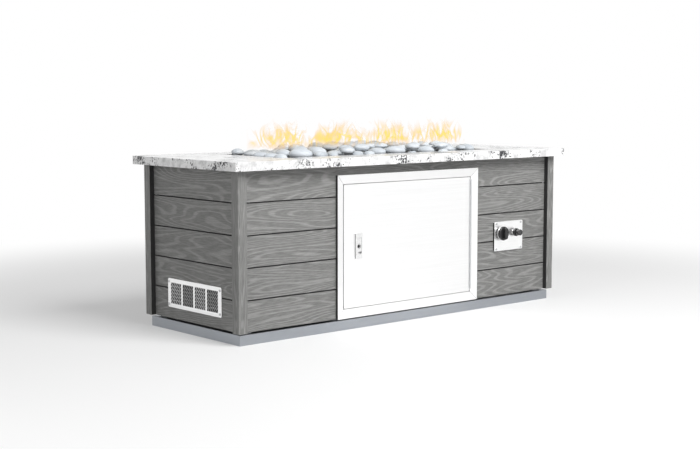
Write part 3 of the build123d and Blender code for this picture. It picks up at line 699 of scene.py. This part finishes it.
# %% [markdown]
# Three such sheets stand one behind the other, each with its own pattern, so the flames seem to have depth.
# The shader mixes clear with glowing: where the wisps are dense the sheet glows, and elsewhere light passes.

# %% Flames
flame_depths = (-0.05, 0.0, 0.06)
sheet_length = 1.04
sheet_height = 0.20
sheet_middle = 0.015
sheet_rise = 0.08


def mixed(tree, amount, first, second):
    """Send a mix of two shaders to the surface of a material."""
    blend = tree.nodes.new("ShaderNodeMixShader")
    for index, socket in enumerate((amount, first, second)):
        tree.links.new(socket, blend.inputs[index])
    tree.links.new(blend.outputs[0], tree.nodes["Material Output"].inputs["Surface"])


def flame_finish(name, seed):
    """Wisps of flame on an upright sheet."""
    material = bpy.data.materials.new(name)
    material.use_nodes = True
    tree = material.node_tree
    tree.nodes.remove(tree.nodes["Principled BSDF"])
    wisp = flame_wisps(tree, seed)
    glow = tree.nodes.new("ShaderNodeEmission")
    tree.links.new(ramp(tree, wisp, flame_colours), glow.inputs["Color"])
    clear = tree.nodes.new("ShaderNodeBsdfTransparent")
    mixed(tree, math_node(tree, "MULTIPLY", wisp, flame_opacity), clear.outputs[0], glow.outputs[0])
    return material


for index, depth in enumerate(flame_depths):
    place = (sheet_middle, depth, flame_low + sheet_rise)
    bpy.ops.mesh.primitive_plane_add(size=1.0, location=place, rotation=(math.pi / 2, 0.0, 0.0))
    sheet = bpy.context.object
    sheet.scale = (sheet_length, sheet_height, 1.0)
    bpy.ops.object.transform_apply(location=True, rotation=True, scale=True)
    sheet.name = f"flame_{index + 1}"
    sheet.data.materials.append(flame_finish(f"flame_wisps_{index + 1}", 3.0 + 2.7 * index))
print("flames stand over the stones:", len(flame_depths), "sheets")

# %% [markdown]
# The floor is pale and endless. Near the object it is a matt surface that takes the soft shadow, and it glows
# a little for the camera. Farther out it turns into plain white, so no line shows where the floor ends.

# %% Floor
floor_glow = 0.25
white_from = 1.5
white_to = 3.0


def seen_rays(tree):
    """One for the camera, and for what is seen in a reflection or through glass."""
    rays = tree.nodes.new("ShaderNodeLightPath")
    shown = math_node(tree, "MAXIMUM", rays.outputs["Is Camera Ray"], rays.outputs["Is Glossy Ray"])
    return math_node(tree, "MAXIMUM", shown, rays.outputs["Is Transmission Ray"])


def floor_white():
    """Matt floor that turns into plain white far from the object."""
    material, tree, shader = finish("floor_white", (0.62, 0.62, 0.62), 0.9)
    shader.inputs["Emission Color"].default_value = as_colour(1.0)
    shader.inputs["Specular IOR Level"].default_value = 0.2
    shown = seen_rays(tree)
    tree.links.new(math_node(tree, "MULTIPLY", shown, floor_glow), shader.inputs["Emission Strength"])
    place = tree.nodes.new("ShaderNodeTexCoord")
    away = node(tree, "ShaderNodeVectorMath", operation="LENGTH")
    tree.links.new(place.outputs["Object"], away.inputs[0])
    far = smooth_step(tree, away.outputs["Value"], white_from, white_to)
    white = tree.nodes.new("ShaderNodeEmission")
    mixed(tree, math_node(tree, "MULTIPLY", far, shown), shader.outputs[0], white.outputs[0])
    return material


bpy.ops.mesh.primitive_plane_add(size=60.0, location=(0.0, 0.0, -0.0005))
floor = bpy.context.object
floor.name = "floor"
floor.data.materials.append(floor_white())
print("floor turns white", white_to, "m from the middle")

# %% [markdown]
# The background is white where it is seen, straight or in a reflection. For all other light it is much
# weaker, because a white room would light the object too strongly and wash out its shadow.

# %% Background
room_light = 0.32
seen_light = 0.68
world = bpy.data.worlds.new("studio")
bpy.context.scene.world = world
world.use_nodes = True
tree = world.node_tree
back = tree.nodes["Background"]
back.inputs["Color"].default_value = as_colour(1.0)
strength = math_node(tree, "ADD", math_node(tree, "MULTIPLY", seen_rays(tree), seen_light), room_light)
tree.links.new(strength, back.inputs["Strength"])
bpy.context.scene.view_settings.view_transform = "Standard"
print("background is white where it is seen")

# %% [markdown]
# One large soft lamp lights the set from above and in front, and a weak one lifts the end on the left, which
# stays darker than the front. Large lamps give the soft-edged shadow that a studio shows.

# %% Lamps
lamp_aim = Vector((0.0, 0.0, 0.3))


def lamp(name, place, size, power):
    """A square area lamp that looks at the middle of the object."""
    data = bpy.data.lights.new(name, "AREA")
    data.size = size
    data.energy = power
    made = bpy.data.objects.new(name, data)
    made.location = place
    made.rotation_euler = (lamp_aim - Vector(place)).to_track_quat("-Z", "Y").to_euler()
    bpy.context.scene.collection.objects.link(made)


lamp("lamp_front", (0.3, -4.2, 4.0), 3.0, 330.0)
lamp("lamp_left", (-4.6, -0.4, 1.9), 2.0, 30.0)
print("lamps are set")
